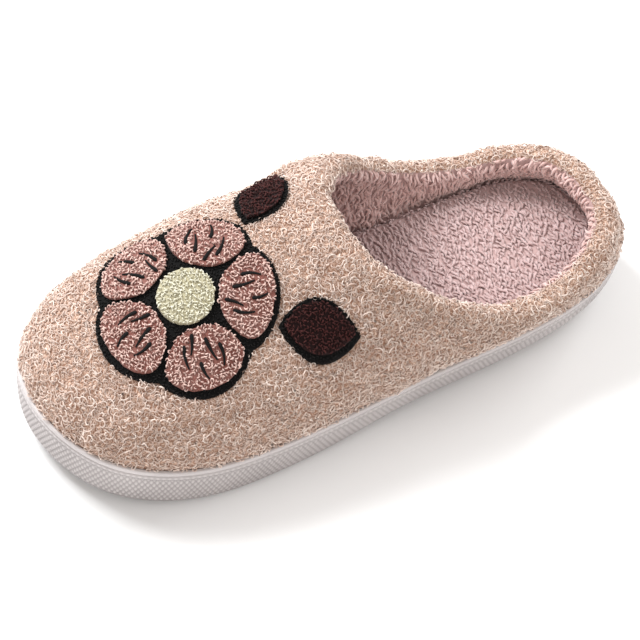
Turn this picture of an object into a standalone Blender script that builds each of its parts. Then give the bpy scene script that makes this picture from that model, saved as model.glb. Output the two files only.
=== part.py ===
# Plush slip-on slipper for the left foot: a hollow padded upper with a rolled collar,
# a fleece insole, a moulded sole unit, and a tufted flower with two leaves on the vamp.
# The toe points along -Y, the wearer's left side is +X, and the sole stands on z = 0.

import math

import bpy
import numpy as np

# Driving sizes of the sole, in metres
SOLE_LENGTH = 0.272
BALL_WIDTH = 0.1083
SOLE_HEIGHT = 0.0221
HEEL_RAISE = 0.0014
TOE_SPRING = 0.0078
HEEL_LIFT = 0.0018
ARCH_RISE = 0.0017
TOE_UNDERCUT = 0.0014
HEEL_UNDERCUT = 0.0080
EDGE_ROUND = 0.0006
LIP_HEIGHT = 0.0020
LIP_ROUND = 0.0005
GROOVE_DEPTH = 0.0009
GROOVE_HEIGHT = 0.0009
BEAD_HEIGHT = 0.0016
BEAD_PROUD = 0.0003
CUP_WALL = 0.0014
CUP_DEPTH = 0.0030

# Tread grooves across the underside
TREAD_DEPTH = 0.0015
TREAD_WIDTH = 0.0030
TREAD_PITCH = 0.0125
FORE_TREADS = 5
HEEL_TREADS = 4
FORE_TREAD_SPAN = 0.072
HEEL_TREAD_SPAN = 0.050

# Driving sizes of the upper, in metres
INSTEP_HEIGHT = 0.0833
HEEL_HEIGHT = 0.0478
COLLAR_LENGTH = 0.1325
COLLAR_WIDTH = 0.0886
COLLAR_WALL = 0.0100
LOWER_WALL = 0.0085
INSOLE_RISE = 0.0066
INSOLE_ROUND = 0.0025
GAP = 0.0003

# Driving sizes of the tufted flower, in metres
FELT_THICKNESS = 0.0008
TUFT_THICKNESS = 0.0010
FLOWER_RADIUS = 0.0355
FLOWER_CENTRE_RADIUS = 0.0115
OUTLINE_WIDTH = 0.0022
PETALS = 5
LEAF_LENGTH = 0.0290
LEAF_WIDTH = 0.0165
LEAF_CLEARANCE = 0.0008

# Mesh fineness
STATIONS = 80
WALL_ROWS = 10
RIM_STEPS = 4
INNER_ROWS = 6
CAP_STRIPS = 4
CURVE_POINTS = 720
SHARP_ANGLE = 40.0

# Sole outline, heel to toe. Columns: share of the length from the heel, and how far
# the edge lies to the wearer's left and right, in shares of the ball width.
OUTLINE_ROWS = (
    (0.035, 0.208, 0.245),
    (0.120, 0.332, 0.372),
    (0.260, 0.395, 0.388),
    (0.420, 0.425, 0.378),
    (0.570, 0.468, 0.438),
    (0.700, 0.491, 0.508),
    (0.820, 0.472, 0.466),
    (0.920, 0.369, 0.386),
    (0.975, 0.207, 0.271),
)
TOE_POINT_OFFSET = -0.04

# Side of the sole below the bead. Columns: height, as a share of the side from the
# floor to the bead, and inset, as a share of the undercut.
SIDE_ROWS = (
    (0.045, 1.00),
    (0.350, 0.50),
    (0.680, 0.17),
    (1.000, 0.00),
)

# Upper sections from the heel (0) round either side to the toe (1). Columns: share of
# the way round; plan angle of the collar point in degrees; its height, in shares of the
# heel height and of the instep height; how far the wall rises before it turns in, as a
# share of the instep height; how far it bulges out, as a share of the collar wall; how
# far the last stretch runs to the collar, as a share of the ball width; its pitch in
# degrees; and the thickness at the collar, as a share of the collar wall.
SECTION_ROWS = (
    (0.0, 0.0, 1.00, 0.000, 0.150, 0.12, 0.075, 79.0, 1.05),
    (0.2, 49.3, 0.96, 0.000, 0.138, 0.36, 0.072, 74.0, 0.95),
    (0.4, 85.0, 0.50, 0.172, 0.110, 0.38, 0.062, 60.0, 0.92),
    (0.6, 114.8, 0.28, 0.529, 0.310, 0.24, 0.140, 36.0, 0.74),
    (0.8, 146.9, 0.00, 0.931, 0.345, 0.15, 0.440, 25.0, 0.78),
    (1.0, 180.0, 0.00, 1.000, 0.372, 0.18, 0.558, 15.0, 0.87),
)

# How the vamp leans to the wearer's left: the shares by which the wall's rise and the
# collar's height are less on that side and more on the other, and the degrees by which
# the last stretch pitches more there and less on the other side.
RISE_LEAN = 0.22
HEIGHT_LEAN = 0.113
PITCH_LEAN = 12.0

# Plan of the collar: its middle along the shoe as a share of the sole length, how far
# it lies to the wearer's left as a share of its width, how much of its length lies behind
# that middle, how square it is, how much wider it is towards the toe, and how far its
# front leans to the wearer's right as a share of its width.
COLLAR_MIDDLE = 0.2367
COLLAR_OFFSET = 0.015
COLLAR_BACK_SHARE = 0.461
COLLAR_SQUARENESS = 2.35
COLLAR_SPREAD = 0.067
COLLAR_LEAN = 0.026

# Where the sole leaves the floor towards the toe and at the back of the heel, where the
# arch lies and how far it reaches each way, and the middles of the two groups of tread
# grooves, as shares of the length from the middle of the sole, towards the heel.
SPRING_START = -0.20
HEEL_LIFT_START = 0.34
ARCH_MIDDLE = 0.05
ARCH_REACH = 0.16
FORE_TREAD_MIDDLE = -0.18
HEEL_TREAD_MIDDLE = 0.30

# How square a petal's corners are, as the power of its rounding, how deep the felt dips
# between two petals, as a share of its radius, and how much a leaf narrows towards its
# tip, as a share of its width.
PETAL_SQUARENESS = 0.75
FELT_DIP = 0.13
LEAF_TAPER = 0.25

# Where the plates of the flower start, as shares of the way round and up the upper.
PLATE_ROUND = 0.26
PLATE_UP = 0.15

# The flower's centre, as shares of the sole length and ball width from the middle, and
# the direction of its first petal in degrees. Leaf columns: name, the direction of its
# root from the flower's centre, and its heading, in degrees.
FLOWER_ALONG = -0.262
FLOWER_ACROSS = 0.010
FIRST_PETAL = -79.0
LEAF_ROWS = (
    ("outer", 50.0, 66.0),
    ("inner", 118.0, 128.0),
)

COLOURS = {
    "plush": (0.75, 0.56, 0.45),
    "sole": (0.60, 0.56, 0.55),
    "fleece": (0.62, 0.42, 0.41),
    "black_felt": (0.010, 0.009, 0.009),
    "pink_tuft": (0.40, 0.24, 0.22),
    "cream_tuft": (0.72, 0.68, 0.54),
    "brown_tuft": (0.045, 0.016, 0.014),
}


def closed_spline(knots, values, period):
    """Smooth closed curve through the values at the knots, as a function of one number."""
    knots = np.asarray(knots, float)
    values = np.asarray(values, float)
    count = len(knots)
    step = np.diff(np.append(knots, knots[0] + period))
    rate = (np.roll(values, -1, axis=0) - values) / step[:, None]
    system = np.zeros((count, count))
    for i in range(count):
        system[i, i - 1] += step[i - 1]
        system[i, i] += 2.0 * (step[i - 1] + step[i])
        system[i, (i + 1) % count] += step[i]
    bend = np.linalg.solve(system, 6.0 * (rate - np.roll(rate, 1, axis=0)))

    def value_at(t):
        t = np.mod(np.asarray(t, float) - knots[0], period)
        i = np.searchsorted(knots - knots[0], t, side="right") - 1
        j = (i + 1) % count
        past = (t - (knots[i] - knots[0]))[:, None]
        left = step[i][:, None] - past
        width = step[i][:, None]
        curve = (bend[i] * left**3 + bend[j] * past**3) / (6.0 * width)
        line_start = (values[i] / width - bend[i] * width / 6.0) * left
        line_end = (values[j] / width - bend[j] * width / 6.0) * past
        return curve + line_start + line_end

    return value_at


def smooth_step(value, low, high):
    """0 below low, 1 above high, and an even rise between."""
    share = np.clip((value - low) / (high - low), 0.0, 1.0)
    return share * share * (3.0 - 2.0 * share)


def sole_outline(count):
    """Plan points of the sole's edge and their outward directions, and each one's share
    of the way from heel to toe. They run from the heel by the wearer's left to the toe,
    and back on the right; point i faces point count - i."""
    heel = [(0.0, SOLE_LENGTH / 2)]
    toe = [(TOE_POINT_OFFSET * BALL_WIDTH, -SOLE_LENGTH / 2)]
    left = [(row[1] * BALL_WIDTH, SOLE_LENGTH * (0.5 - row[0])) for row in OUTLINE_ROWS]
    right = [(-row[2] * BALL_WIDTH, SOLE_LENGTH * (0.5 - row[0])) for row in OUTLINE_ROWS]
    points = np.array(heel + left + toe + right[::-1])
    hops = np.linalg.norm(np.roll(points, -1, axis=0) - points, axis=1) ** 0.5
    knots = np.append(0.0, np.cumsum(hops))
    curve = closed_spline(knots[:-1], points, knots[-1])
    fine_knots = np.linspace(0.0, knots[-1], CURVE_POINTS + 1)
    fine = curve(fine_knots)
    fine[-1] = fine[0]
    walked = np.append(0.0, np.cumsum(np.linalg.norm(np.diff(fine, axis=0), axis=1)))
    walked_to_toe = np.interp(knots[len(left) + 1], fine_knots, walked)
    turn = np.arange(count) / count
    first_half = turn <= 0.5
    out_walk = 2.0 * turn * walked_to_toe
    back_walk = walked_to_toe + (2.0 * turn - 1.0) * (walked[-1] - walked_to_toe)
    at = np.interp(np.where(first_half, out_walk, back_walk), walked, fine_knots)
    edge = curve(at)
    nudge = knots[-1] / CURVE_POINTS
    along = curve(at + nudge) - curve(at - nudge)
    along /= np.linalg.norm(along, axis=1)[:, None]
    outward = np.stack([-along[:, 1], along[:, 0]], axis=1)
    share = np.where(first_half, 2.0 * turn, 2.0 - 2.0 * turn)
    centred = edge - (edge.max(axis=0) + edge.min(axis=0)) / 2
    return centred, outward, share


def toe_lift(y):
    """Height of the sole's bottom over the floor at the toe and the back of the heel."""
    toe = np.clip((SPRING_START * SOLE_LENGTH - y) / ((0.5 + SPRING_START) * SOLE_LENGTH), 0.0, 1.0)
    heel = np.clip((y - HEEL_LIFT_START * SOLE_LENGTH) / ((0.5 - HEEL_LIFT_START) * SOLE_LENGTH), 0.0, 1.0)
    return TOE_SPRING * toe**2 + HEEL_LIFT * heel**2


def bottom_height(y):
    """Height of the sole's underside: flat at the forefoot and heel, raised between."""
    away = np.abs(y / SOLE_LENGTH - ARCH_MIDDLE) / ARCH_REACH
    return toe_lift(y) + ARCH_RISE * smooth_step(-away, -1.0, 0.0)


def lip_height(y):
    """Height of the lip round the top of the sole."""
    return toe_lift(y) + SOLE_HEIGHT + HEEL_RAISE * np.clip(2.0 * y / SOLE_LENGTH, 0.0, 1.0)


def cup_floor(y):
    """Height of the seat inside the lip, on which upper and insole stand."""
    return lip_height(y) - CUP_DEPTH


def ring(edge, outward, inset, height):
    """Points inset from the sole's edge, at a height given by their place along the shoe."""
    plan = edge - outward * np.broadcast_to(inset, (len(edge),))[:, None]
    return np.column_stack([plan, height(plan[:, 1])])


def section_values(share, side):
    """The columns of SECTION_ROWS at each share, leaned to the wearer's left; the plan
    angle turns with the side."""
    rows = np.array(SECTION_ROWS)
    spread = 180.0 * rows[:, 0]
    table = np.column_stack([rows[:, 1] - spread, rows[:, 2:]])
    mirrored = table[-2:0:-1] * np.append(-1.0, np.ones(table.shape[1] - 1))
    knots = np.concatenate([rows[:, 0], 2.0 - rows[-2:0:-1, 0]])
    values = closed_spline(knots, np.concatenate([table, mirrored]), 2.0)(share)
    angle = np.radians(values[:, 0] + 180.0 * share) * side
    heel_part, instep_part, rise, bulge, reach, pitch, wall = values[:, 1:].T
    lean = np.sin(np.pi * share) * share * side
    top = heel_part * HEEL_HEIGHT + instep_part * INSTEP_HEIGHT
    top = top * (1.0 - HEIGHT_LEAN * lean * share)
    rise = rise * (1.0 - RISE_LEAN * lean)
    pitch = pitch + PITCH_LEAN * lean
    return angle, top, rise, bulge, reach, pitch, wall


def collar_plan(angle):
    """Plan of the collar: a squared oval that widens towards the toe."""
    power = 2.0 / COLLAR_SQUARENESS
    across = np.sign(np.sin(angle)) * np.abs(np.sin(angle)) ** power
    along = np.sign(np.cos(angle)) * np.abs(np.cos(angle)) ** power
    x = across * COLLAR_WIDTH / 2 * (1.0 - COLLAR_SPREAD * along)
    x += COLLAR_WIDTH * (COLLAR_OFFSET + COLLAR_LEAN * along)
    reach = COLLAR_LENGTH * np.where(along > 0.0, COLLAR_BACK_SHARE, 1.0 - COLLAR_BACK_SHARE)
    y = COLLAR_MIDDLE * SOLE_LENGTH + reach * along
    return np.column_stack([x, y])


def upper_surface(edge, outward, share, rows):
    """Outer skin of the upper as a grid, rows from the sole to the collar, with its
    outward directions and the wall thickness at the collar."""
    count = len(edge)
    side = np.where(np.arange(count) <= count // 2, 1.0, -1.0)
    angle, top, rise, bulge, reach, pitch, wall = section_values(share, side)
    foot = ring(edge, outward, CUP_WALL + GAP, lip_height)
    plan = collar_plan(angle)
    collar = np.column_stack([plan, top])
    away = foot[:, :2] - plan + outward * COLLAR_WALL
    away /= np.linalg.norm(away, axis=1)[:, None]
    swell = np.column_stack([outward * (bulge * COLLAR_WALL)[:, None], rise * INSTEP_HEIGHT])
    slope = np.radians(pitch)
    run = np.column_stack([away * np.cos(slope)[:, None], -np.sin(slope)])
    above_foot = foot + swell
    before_collar = collar + run * (reach * BALL_WIDTH)[:, None]
    grid = []
    for t in np.linspace(0.0, 1.0, rows + 1):
        point = (1 - t)**3 * foot + 3 * (1 - t)**2 * t * above_foot
        point = point + 3 * (1 - t) * t**2 * before_collar + t**3 * collar
        grid.append(point)
    grid = np.array(grid)
    around = np.roll(grid, -1, axis=1) - np.roll(grid, 1, axis=1)
    up = np.gradient(grid, axis=0)
    facing = np.cross(up, around)
    facing /= np.linalg.norm(facing, axis=2)[:, :, None]
    return grid, facing, wall * COLLAR_WALL


def inner_skin(grid, facing, collar_wall, rows):
    """Rows of the upper's inner skin, from the collar down to the sole."""
    last = len(grid) - 1
    skin = []
    for j in np.linspace(last - 1, 0, rows):
        k = int(round(j))
        blend = (k / last) ** 1.5
        wall = collar_wall * blend + LOWER_WALL * (1.0 - blend)
        skin.append(grid[k] - facing[k] * wall[:, None])
    return skin


def add_object(name, vertices, faces, collection, material):
    """A mesh object from vertices and faces, shaded smooth but for its sharp edges."""
    mesh = bpy.data.meshes.new(name)
    mesh.from_pydata([tuple(v) for v in vertices], [], faces)
    mesh.update()
    mesh.validate()
    mesh.shade_smooth()
    mesh.set_sharp_from_angle(angle=math.radians(SHARP_ANGLE))
    if material:
        mesh.materials.append(material)
    thing = bpy.data.objects.new(name, mesh)
    collection.objects.link(thing)
    return thing


def ring_faces(rings, count, closed):
    """Quads between neighbouring rings, and from the last to the first if closed."""
    faces = []
    pairs = rings if closed else rings - 1
    for r in range(pairs):
        low = r * count
        high = ((r + 1) % rings) * count
        for i in range(count):
            j = (i + 1) % count
            faces.append((low + i, high + i, high + j, low + j))
    return faces


def capped_loft(name, rings, bottom_at, top_at, collection, material):
    """A solid of rings from its bottom to its top, with both ends closed by strips
    across the shoe whose height follows their place along it."""
    count = len(rings[0])
    vertices = [point for one in rings for point in one]
    faces = ring_faces(len(rings), count, False)
    for first, height, flip in ((0, bottom_at, False), ((len(rings) - 1) * count, top_at, True)):
        lines = []
        for i in range(count // 2 + 1):
            j = (count - i) % count
            if i == j or i == count // 2:
                lines.append([first + i] * (CAP_STRIPS + 1))
                continue
            line = [first + i]
            for k in range(1, CAP_STRIPS):
                share = k / CAP_STRIPS
                start = vertices[first + i]
                end = vertices[first + j]
                x = start[0] * (1 - share) + end[0] * share
                y = start[1] * (1 - share) + end[1] * share
                line.append(len(vertices))
                vertices.append((x, y, float(height(y))))
            line.append(first + j)
            lines.append(line)
        for near, far in zip(lines, lines[1:]):
            for k in range(CAP_STRIPS):
                corners = []
                for corner in (near[k], far[k], far[k + 1], near[k + 1]):
                    if corner not in corners:
                        corners.append(corner)
                faces.append(tuple(corners[::-1] if flip else corners))
    return add_object(name, vertices, faces, collection, material)


def make_upper(edge, outward, share, collection, material):
    """The hollow upper: one wall, closed at the rolled collar and on its foot."""
    grid, facing, wall = upper_surface(edge, outward, share, WALL_ROWS)
    foot_height = lambda y: cup_floor(y) + GAP
    rings = [ring(edge, outward, CUP_WALL + GAP, foot_height)]
    rings += list(grid)
    last_run = grid[-1] - grid[-2]
    last_run /= np.linalg.norm(last_run, axis=1)[:, None]
    half = (wall / 2)[:, None]
    middle = grid[-1] - facing[-1] * half
    for k in range(1, RIM_STEPS + 1):
        turn = math.pi * k / RIM_STEPS
        rings.append(middle + half * (facing[-1] * math.cos(turn) + last_run * math.sin(turn)))
    rings += inner_skin(grid, facing, wall, INNER_ROWS)
    rings.append(ring(edge, outward, CUP_WALL + GAP + LOWER_WALL, foot_height))
    vertices = [point for one in rings for point in one]
    faces = ring_faces(len(rings), len(edge), True)
    return add_object("upper", vertices, faces, collection, material)


def insole_top(y):
    """Height of the insole's edge where it meets the upper."""
    return lip_height(y) + INSOLE_RISE


def insole_insets(edge, outward, share):
    """How far the insole stays inside the sole's edge, to clear the upper's inner skin
    from its foot up to the insole's top."""
    grid, facing, wall = upper_surface(edge, outward, share, WALL_ROWS)
    foot = ring(edge, outward, CUP_WALL + GAP + LOWER_WALL, cup_floor)
    skin = np.array([foot] + inner_skin(grid, facing, wall, INNER_ROWS)[::-1])
    depth = np.einsum("rij,ij->ri", edge - skin[:, :, :2], outward)
    insets = []
    for i in range(len(edge)):
        top = insole_top(skin[0, i, 1]) + GAP
        low = skin[:, i, 2] < top
        at_top = np.interp(top, skin[:, i, 2], depth[:, i])
        insets.append(max(depth[low, i].max(), at_top))
    return np.array(insets) + 2 * GAP


def make_insole(edge, outward, share, collection, material):
    """The padded insole, resting in the sole's cup inside the upper."""
    inset = insole_insets(edge, outward, share)
    bottom = lambda y: cup_floor(y) + GAP
    shoulder = lambda y: insole_top(y) - INSOLE_ROUND
    rings = [
        ring(edge, outward, inset, bottom),
        ring(edge, outward, inset, shoulder),
        ring(edge, outward, inset + 0.3 * INSOLE_ROUND, lambda y: insole_top(y) - 0.3 * INSOLE_ROUND),
        ring(edge, outward, inset + INSOLE_ROUND, insole_top),
    ]
    return capped_loft("insole", rings, bottom, insole_top, collection, material)


def make_sole(edge, outward, share, collection, material):
    """The moulded sole: undercut side, bead, groove, lip and the cup inside the lip."""
    undercut = HEEL_UNDERCUT + (TOE_UNDERCUT - HEEL_UNDERCUT) * smooth_step(share, 0.0, 0.8)
    bead_top = LIP_HEIGHT + GROOVE_HEIGHT
    band_top = bead_top + BEAD_HEIGHT

    def side_height(part):
        return lambda y: bottom_height(y) + part * (lip_height(y) - band_top - bottom_height(y))

    def below_lip(drop):
        return lambda y: lip_height(y) - drop

    rings = [ring(edge, outward, undercut + 4 * EDGE_ROUND, bottom_height)]
    for part, inset in SIDE_ROWS:
        rings.append(ring(edge, outward, undercut * inset + BEAD_PROUD, side_height(part)))
    for drop, inset in (
        (band_top - BEAD_HEIGHT / 3, 0.0),
        (bead_top + BEAD_HEIGHT / 3, 0.0),
        (bead_top, GROOVE_DEPTH / 2),
        (bead_top - GROOVE_HEIGHT / 3, GROOVE_DEPTH),
        (LIP_HEIGHT + GROOVE_HEIGHT / 3, GROOVE_DEPTH),
        (LIP_HEIGHT, 0.0),
        (LIP_ROUND, 0.0),
        (0.0, LIP_ROUND),
        (0.0, CUP_WALL),
        (CUP_DEPTH, CUP_WALL),
    ):
        rings.append(ring(edge, outward, inset, below_lip(drop)))
    return capped_loft("outsole", rings, bottom_height, cup_floor, collection, material)


def add_cube_row(name, count, pitch, size, centre, collection):
    """A row of equal blocks along the shoe, as one cutter."""
    bpy.ops.mesh.primitive_cube_add(size=1.0)
    block = bpy.context.object
    block.name = name
    for vertex in block.data.vertices:
        for axis in range(3):
            vertex.co[axis] *= size[axis]
    block.location = (centre[0], centre[1] - pitch * (count - 1) / 2, centre[2])
    row = block.modifiers.new("row", "ARRAY")
    row.count = count
    row.use_relative_offset = False
    row.use_constant_offset = True
    row.constant_offset_displace = (0.0, pitch, 0.0)
    move_to(block, collection)
    return block


def move_to(thing, collection):
    """Keep an object in one collection, drawn as a wire that never renders."""
    for other in list(thing.users_collection):
        other.objects.unlink(thing)
    collection.objects.link(thing)
    thing.display_type = "WIRE"
    thing.hide_render = True


def add_boolean(thing, cutter, operation):
    """An exact Boolean of the thing with a cutter."""
    change = thing.modifiers.new(cutter.name, "BOOLEAN")
    change.operation = operation
    change.object = cutter
    change.solver = "EXACT"


def cut_treads(sole, cutters):
    """Grooves across the underside, at the forefoot and at the heel."""
    rows = (
        ("fore_treads", FORE_TREADS, FORE_TREAD_SPAN, FORE_TREAD_MIDDLE),
        ("heel_treads", HEEL_TREADS, HEEL_TREAD_SPAN, HEEL_TREAD_MIDDLE),
    )
    for name, count, span, middle in rows:
        size = (span, TREAD_WIDTH, 2 * TREAD_DEPTH)
        centre = (0.0, middle * SOLE_LENGTH, 0.0)
        add_boolean(sole, add_cube_row(name, count, TREAD_PITCH, size, centre, cutters), "DIFFERENCE")


def prism(name, outline, collection):
    """An upright prism over a closed plan outline, as a cutter."""
    count = len(outline)
    vertices = [(x, y, 0.0) for x, y in outline] + [(x, y, 2 * INSTEP_HEIGHT) for x, y in outline]
    faces = [(i, (i + 1) % count, count + (i + 1) % count, count + i) for i in range(count)]
    faces.append(tuple(range(count))[::-1])
    faces.append(tuple(range(count, 2 * count)))
    cutter = add_object(name, vertices, faces, collection, None)
    move_to(cutter, collection)
    return cutter


def vamp_plate(name, low, high, edge, outward, share, collection, material):
    """A curved plate over the vamp, between two heights above the upper's skin."""
    grid, facing, _ = upper_surface(edge, outward, share, 2 * WALL_ROWS)
    count = len(edge)
    first = int(PLATE_ROUND * count)
    columns = range(first, count - first + 1)
    rows = range(int(PLATE_UP * 2 * WALL_ROWS), 2 * WALL_ROWS)
    vertices = []
    for lift in (low, high):
        for r in rows:
            vertices += [grid[r, c] + facing[r, c] * lift for c in columns]
    wide = len(columns)
    tall = len(rows)
    layer = wide * tall
    faces = []
    for r in range(tall - 1):
        for c in range(wide - 1):
            a = r * wide + c
            faces.append((a, a + 1, a + wide + 1, a + wide))
            faces.append((layer + a, layer + a + wide, layer + a + wide + 1, layer + a + 1))
    rim = [c for c in range(wide)]
    rim += [r * wide + wide - 1 for r in range(1, tall)]
    rim += [(tall - 1) * wide + c for c in range(wide - 2, -1, -1)]
    rim += [r * wide for r in range(tall - 2, 0, -1)]
    for a, b in zip(rim, rim[1:] + rim[:1]):
        faces.append((a, layer + a, layer + b, b))
    return add_object(name, vertices, faces, collection, material)


def turned(points, heading, root):
    """Plan points turned by a heading and moved to a root."""
    c = math.cos(heading)
    s = math.sin(heading)
    return [(root[0] + c * x - s * y, root[1] + s * x + c * y) for x, y in points]


def petal_outline(index, points=26):
    """One petal: a rounded fan that starts beyond the flower's centre."""
    inner = FLOWER_CENTRE_RADIUS + OUTLINE_WIDTH
    middle = (FLOWER_RADIUS + inner) / 2
    length = (FLOWER_RADIUS - inner) / 2
    shape = []
    for k in range(points):
        turn = 2 * math.pi * k / points
        along = math.copysign(abs(math.cos(turn)) ** PETAL_SQUARENESS, math.cos(turn))
        across = math.copysign(abs(math.sin(turn)) ** PETAL_SQUARENESS, math.sin(turn))
        radius = middle + length * along
        half_angle = math.pi / PETALS - math.asin(OUTLINE_WIDTH / 2 / radius)
        shape.append((radius * math.cos(half_angle * across), radius * math.sin(half_angle * across)))
    return turned(shape, petal_heading(index), flower_root())


def petal_heading(index):
    """Direction of a petal in the plan."""
    return 2 * math.pi * index / PETALS + math.radians(FIRST_PETAL)


def flower_root():
    """Plan place of the flower's centre."""
    return (FLOWER_ACROSS * BALL_WIDTH, FLOWER_ALONG * SOLE_LENGTH)


def flower_backing_outline(points=60):
    """The scalloped felt patch under the flower."""
    shape = []
    for k in range(points):
        turn = 2 * math.pi * k / points
        lobe = abs(math.cos(PETALS * (turn - petal_heading(0)) / 2))
        radius = (FLOWER_RADIUS + OUTLINE_WIDTH) * (1.0 - FELT_DIP * (1.0 - lobe**0.7))
        shape.append((radius * math.cos(turn), radius * math.sin(turn)))
    return turned(shape, 0.0, flower_root())


def round_outline(radius, points=20):
    """A circle about the flower's centre."""
    turns = [2 * math.pi * k / points for k in range(points)]
    return turned([(radius * math.cos(t), radius * math.sin(t)) for t in turns], 0.0, flower_root())


def leaf_outline(direction, heading, margin, half_points=11):
    """A pointed leaf whose root lies off the flower's edge, grown by a margin."""
    away = FLOWER_RADIUS + 2 * OUTLINE_WIDTH + LEAF_CLEARANCE
    middle = flower_root()
    root = (
        middle[0] + away * math.cos(math.radians(direction)),
        middle[1] + away * math.sin(math.radians(direction)),
    )
    length = LEAF_LENGTH + 2 * margin
    width = LEAF_WIDTH / 2 + margin
    right_edge = []
    for k in range(half_points + 1):
        share = k / half_points
        bow = math.sin(math.pi * share) ** 0.8
        right_edge.append((length * share - margin, -width * bow * (1.1 - LEAF_TAPER * share)))
    left_edge = [(x, -y) for x, y in right_edge[-2:0:-1]]
    return turned(right_edge + left_edge, math.radians(heading), root)


def make_flower(edge, outward, share, parts, cutters, materials):
    """Felt patches close over the vamp, with the tufted petals, centre and leaves on them."""
    felt = (GAP, GAP + FELT_THICKNESS)
    tuft = (felt[1] + GAP, felt[1] + GAP + TUFT_THICKNESS)
    shapes = [("flower_backing", flower_backing_outline(), felt, "black_felt")]
    for index in range(PETALS):
        shapes.append(("petal_%d" % (index + 1), petal_outline(index), tuft, "pink_tuft"))
    shapes.append(("flower_centre", round_outline(FLOWER_CENTRE_RADIUS), tuft, "cream_tuft"))
    for name, direction, heading in LEAF_ROWS:
        backing = leaf_outline(direction, heading, OUTLINE_WIDTH)
        shapes.append(("leaf_backing_" + name, backing, felt, "black_felt"))
        blade = leaf_outline(direction, heading, 0.0)
        shapes.append(("leaf_" + name, blade, tuft, "brown_tuft"))
    for name, outline, (low, high), slot in shapes:
        plate = vamp_plate(name, low, high, edge, outward, share, parts, materials[slot])
        add_boolean(plate, prism("cutter_" + name, outline, cutters), "INTERSECT")


def make_material(name, colour, roughness):
    """A plain material with one colour and roughness."""
    material = bpy.data.materials.new(name)
    material.use_nodes = True
    shader = material.node_tree.nodes["Principled BSDF"]
    shader.inputs["Base Color"].default_value = (*colour, 1.0)
    shader.inputs["Roughness"].default_value = roughness
    shader.inputs["Metallic"].default_value = 0.0
    return material


def make_slipper():
    """Clear the scene and build every part."""
    for thing in list(bpy.data.objects):
        bpy.data.objects.remove(thing)
    parts = bpy.data.collections.new("slipper")
    cutters = bpy.data.collections.new("cutters")
    for collection in (parts, cutters):
        bpy.context.scene.collection.children.link(collection)
    materials = {}
    for name, colour in COLOURS.items():
        materials[name] = make_material(name, colour, 0.55 if name == "sole" else 0.95)
    edge, outward, share = sole_outline(STATIONS)
    sole = make_sole(edge, outward, share, parts, materials["sole"])
    cut_treads(sole, cutters)
    make_upper(edge, outward, share, parts, materials["plush"])
    make_insole(edge, outward, share, parts, materials["fleece"])
    make_flower(edge, outward, share, parts, cutters, materials)


make_slipper()
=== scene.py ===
# Dresses the plush slipper: curled boucle outside, fleece inside, a knurled sole side
# and a tufted flower, with the camera, lights and floor.
# The toe points along -Y, the wearer's left side is +X, and the floor is z = 0.

import math

import bpy
import numpy as np
from mathutils import Matrix, Vector
from mathutils.bvhtree import BVHTree
from mathutils.kdtree import KDTree


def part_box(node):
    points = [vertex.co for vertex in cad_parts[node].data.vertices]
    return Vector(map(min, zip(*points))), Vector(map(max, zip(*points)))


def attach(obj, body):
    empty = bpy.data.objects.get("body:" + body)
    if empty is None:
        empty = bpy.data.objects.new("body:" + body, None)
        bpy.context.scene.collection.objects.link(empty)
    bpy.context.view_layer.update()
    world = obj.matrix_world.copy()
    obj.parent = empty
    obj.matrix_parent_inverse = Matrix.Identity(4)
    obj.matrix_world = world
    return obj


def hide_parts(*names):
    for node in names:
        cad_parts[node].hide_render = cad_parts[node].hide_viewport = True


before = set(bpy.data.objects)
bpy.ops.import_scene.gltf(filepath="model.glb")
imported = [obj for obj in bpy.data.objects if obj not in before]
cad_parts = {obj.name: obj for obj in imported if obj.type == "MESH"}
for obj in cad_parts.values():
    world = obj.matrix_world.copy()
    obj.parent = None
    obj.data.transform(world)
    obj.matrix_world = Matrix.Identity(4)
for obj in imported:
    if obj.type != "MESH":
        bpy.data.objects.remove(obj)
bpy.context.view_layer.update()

# Sizes of the solids, in metres
SOLE_LENGTH = 0.272
BALL_WIDTH = 0.1083
SOLE_HEIGHT = 0.0221
HEEL_RAISE = 0.0014
TOE_SPRING = 0.0078
HEEL_LIFT = 0.0018
ARCH_RISE = 0.0017
TOE_UNDERCUT = 0.0014
HEEL_UNDERCUT = 0.0080
EDGE_ROUND = 0.0006
LIP_HEIGHT = 0.0020
LIP_ROUND = 0.0005
GROOVE_DEPTH = 0.0009
GROOVE_HEIGHT = 0.0009
BEAD_HEIGHT = 0.0016
BEAD_PROUD = 0.0003
CUP_WALL = 0.0014
CUP_DEPTH = 0.0030
INSTEP_HEIGHT = 0.0833
HEEL_HEIGHT = 0.0478
COLLAR_LENGTH = 0.1325
COLLAR_WIDTH = 0.0886
COLLAR_WALL = 0.0100
LOWER_WALL = 0.0085
INSOLE_RISE = 0.0066
INSOLE_ROUND = 0.0025
GAP = 0.0003
FLOWER_RADIUS = 0.0355
PETALS = 5
FLOWER_ALONG = -0.262
FLOWER_ACROSS = 0.010
FIRST_PETAL = -79.0
CURVE_POINTS = 720

# Sole outline, heel to toe. Columns: share of the length, and how far the edge lies to
# the wearer's left and right, in shares of the ball width.
OUTLINE_ROWS = (
    (0.035, 0.208, 0.245),
    (0.120, 0.332, 0.372),
    (0.260, 0.395, 0.388),
    (0.420, 0.425, 0.378),
    (0.570, 0.468, 0.438),
    (0.700, 0.491, 0.508),
    (0.820, 0.472, 0.466),
    (0.920, 0.369, 0.386),
    (0.975, 0.207, 0.271),
)
TOE_POINT_OFFSET = -0.04

# Side of the sole from the floor to the bead. Columns: shares of its height and undercut.
SIDE_ROWS = (
    (0.045, 1.00),
    (0.350, 0.50),
    (0.680, 0.17),
    (1.000, 0.00),
)

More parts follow.
